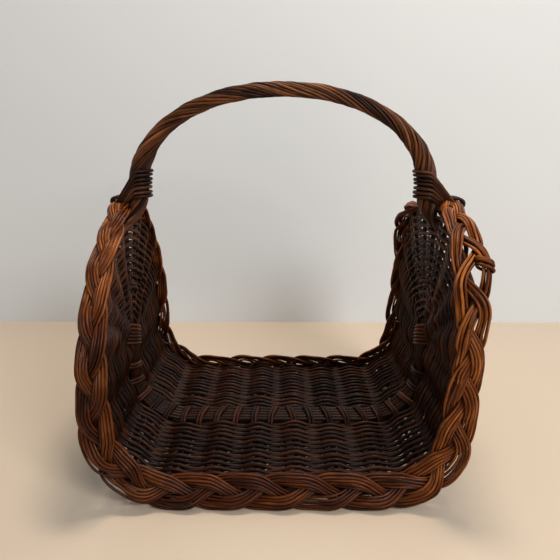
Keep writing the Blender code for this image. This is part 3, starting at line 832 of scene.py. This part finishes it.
def make_lashings():
    left = wall_point(-1, SPRING_HEIGHT, FOOT_INSET[-1])[0]
    right = wall_point(1, SPRING_HEIGHT, FOOT_INSET[1])[0]
    for side, word in ((-1, "left"), (1, "right")):
        bundle = Bundle(f"lashing_rods_{word}", "lashing_willow")
        for turn in range(LASHING_TURNS):
            share = turn / (LASHING_TURNS - 1)
            z = SPRING_HEIGHT - 0.0085 + turn * LASHING_PITCH + rng.uniform(-0.0006, 0.0006)
            rise = max(0.0, (z - SPRING_HEIGHT) / (ARCH_TOP - SPRING_HEIGHT))
            out = (1 - rise ** ARCH_POWER) ** (1 / ARCH_POWER)
            x = (left + right) / 2 + side * (right - left) / 2 * out
            near, far = LASHING_REACH[side]
            outer_x = side * (near + (far - near) * share ** 0.6)
            outer_z = LASHING_END[side] - 0.0085 * share ** 0.7
            angles = np.linspace(-1.75, 1.75, 26)
            wrap = np.stack([
                x - side * np.cos(angles) * LASHING_RADIUS,
                np.sin(angles) * LASHING_RADIUS,
                z + 0.0012 * np.cos(angles) - 0.0010 * np.sin(angles),
            ], -1)
            spread = 0.0040 + 0.0016 * turn
            bottom = [[outer_x, spread, outer_z], [outer_x + side * 0.0015, 0.0, outer_z - 0.004],
                      [outer_x, -spread, outer_z]]
            path = smooth_loop(np.vstack([wrap, bottom]), LASHING_STEP)
            up = np.broadcast_to(np.array([0, 0, 1.0]), path.shape)
            bundle.add(path, up, rod_radius(path_length(path), LASHING_ROD * rng.uniform(0.9, 1.05)), sides=9,
                       closed=True, tone=rng.uniform(0.2, 0.9))
        bundle.make(lashing_willow, f"lashing_{word}")


def loop_round(bundle, centre, along, across, face, half_across, half_out, radius, tone):
    """One turn of a rod round the border."""
    angle = np.linspace(0, 2 * math.pi, 40, endpoint=False)
    ring_across = np.sign(np.cos(angle)) * np.abs(np.cos(angle)) ** 0.8 * half_across
    ring_out = np.sign(np.sin(angle)) * np.abs(np.sin(angle)) ** 0.8 * half_out
    slant = 0.004 * np.cos(angle)
    path = centre + across * ring_across[:, None] + face * ring_out[:, None] + along * slant[:, None]
    up = np.broadcast_to(along, path.shape)
    bundle.add(path, up, radius, sides=9, closed=True, tone=tone)


def make_ties(border):
    middle, across, face, half, places = border
    along = np.roll(middle, -1, 0) - middle
    along = along / np.linalg.norm(along, axis=1, keepdims=True)
    for side, word in ((-1, "left"), (1, "right")):
        bundle = Bundle(f"tie_rods_{word}", "lashing_willow")
        for place in (-0.0050, 0.0055):
            target = np.array([side * 0.21, place, 0.34])
            i = int(np.argmin(np.linalg.norm(middle - target, axis=1)))
            loop_round(bundle, middle[i], along[i], across[i], face[i], half[i] - 0.0002,
                       0.0070, LASHING_ROD, rng.uniform(0.3, 0.9))
        bundle.make(lashing_willow, f"border_tie_{word}")
    bundle = Bundle("border_wrap", "border_willow")
    start = int(np.argmin(np.linalg.norm(middle - np.array([0.215, -0.140, 0.280]), axis=1)))
    for turn in range(3):
        i = start + round(turn * 0.0040 / BORDER_STEP)
        strands = places[i].reshape(3, -1, 2).mean(1)
        outer = strands[np.argmin(strands[:, 0])]
        centre = middle[i] + across[i] * (outer[0] + 0.0016) + face[i] * outer[1]
        tone = 0.40 + 0.1 * turn
        loop_round(bundle, centre, along[i], across[i], face[i], 0.0084, 0.0060, BORDER_ROD, tone)
    bundle.make(border_willow)


def smooth_loop(points, step):
    """Closed curve through points, evenly stepped and rounded."""
    closed = np.vstack([points, points[:1]])
    length = path_length(closed)
    at = np.linspace(0, length[-1], max(int(length[-1] / step), 12), endpoint=False)
    path = np.stack([np.interp(at, length, closed[:, i]) for i in range(3)], -1)
    for _ in range(3):
        path = path * 0.5 + (np.roll(path, 1, 0) + np.roll(path, -1, 0)) * 0.25
    return path


# ---- Stage --------------------------------------------------------------------------------------

def plain(name, colour, roughness, one_sided=False):
    material = bpy.data.materials.new(name)
    material.use_nodes = True
    nodes = material.node_tree.nodes
    links = material.node_tree.links
    shader = nodes["Principled BSDF"]
    shader.inputs["Base Color"].default_value = (*colour, 1)
    shader.inputs["Roughness"].default_value = roughness
    if one_sided:
        mix = nodes.new("ShaderNodeMixShader")
        links.new(nodes.new("ShaderNodeNewGeometry").outputs["Backfacing"], mix.inputs[0])
        links.new(shader.outputs[0], mix.inputs[1])
        links.new(nodes.new("ShaderNodeBsdfTransparent").outputs[0], mix.inputs[2])
        links.new(mix.outputs[0], nodes["Material Output"].inputs["Surface"])
    return material


def plane(name, corners, material):
    mesh = bpy.data.meshes.new(name)
    mesh.from_pydata(corners, [], [(0, 1, 2, 3)])
    mesh.materials.append(material)
    obj = bpy.data.objects.new(name, mesh)
    bpy.context.scene.collection.objects.link(obj)
    return obj


def area_light(name, location, target, size, power, colour):
    data = bpy.data.lights.new(name, "AREA")
    data.shape = "RECTANGLE"
    data.size, data.size_y = size
    data.energy = power
    data.color = colour
    obj = bpy.data.objects.new(name, data)
    obj.location = location
    direction = np.array(target) - np.array(location)
    obj.rotation_euler = Vector(direction).to_track_quat("-Z", "Y").to_euler()
    bpy.context.scene.collection.objects.link(obj)
    return obj


FLOOR_COLOUR = (0.56, 0.462, 0.36)
WALL_COLOUR = (0.74, 0.77, 0.79)
WALL_Y = 0.433
CAMERA_PLACE = (-0.001, -0.73, 0.448)
CAMERA_PITCH = 16.77          # degrees below level
CAMERA_ROLL = -0.12
CAMERA_LENS = 36              # mm, on a sensor 36 mm wide


def make_stage():
    """A pale floor, a wall that only shows from the front, soft light from above and a window."""
    plane("floor", [(-4, -4, 0), (4, -4, 0), (4, 4, 0), (-4, 4, 0)], plain("floor", FLOOR_COLOUR, 0.4))
    plane("wall", [(-4, WALL_Y, 0), (4, WALL_Y, 0), (4, WALL_Y, 3), (-4, WALL_Y, 3)],
          plain("wall", WALL_COLOUR, 0.8, one_sided=True))
    world = bpy.data.worlds.new("studio")
    bpy.context.scene.world = world
    world.use_nodes = True
    world.node_tree.nodes["Background"].inputs["Color"].default_value = (0.97, 0.98, 1.0, 1)
    world.node_tree.nodes["Background"].inputs["Strength"].default_value = 0.36
    area_light("overhead", (0.16, 0.24, 2.0), (0, -0.1, 0.1), (0.5, 0.3), 23, (1.0, 0.88, 0.74))
    area_light("window", (1.15, -1.68, 1.55), (0.05, 0.1, 0.2), (0.9, 0.9), 37, (1.0, 0.98, 0.95))
    bpy.context.scene.view_settings.view_transform = "Standard"


def make_camera():
    data = bpy.data.cameras.new("camera")
    data.sensor_width = 36
    data.lens = CAMERA_LENS
    obj = bpy.data.objects.new("camera", data)
    obj.location = CAMERA_PLACE
    obj.rotation_euler = (math.radians(90 - CAMERA_PITCH), math.radians(CAMERA_ROLL), 0)
    bpy.context.scene.collection.objects.link(obj)
    bpy.context.scene.camera = obj


border = make_border()
make_weaving()
make_cross_sticks()
make_long_sticks()
make_fan_sticks()
make_handle()
make_lashings()
make_ties(border)
make_stage()
make_camera()

bpy.context.view_layer.update()
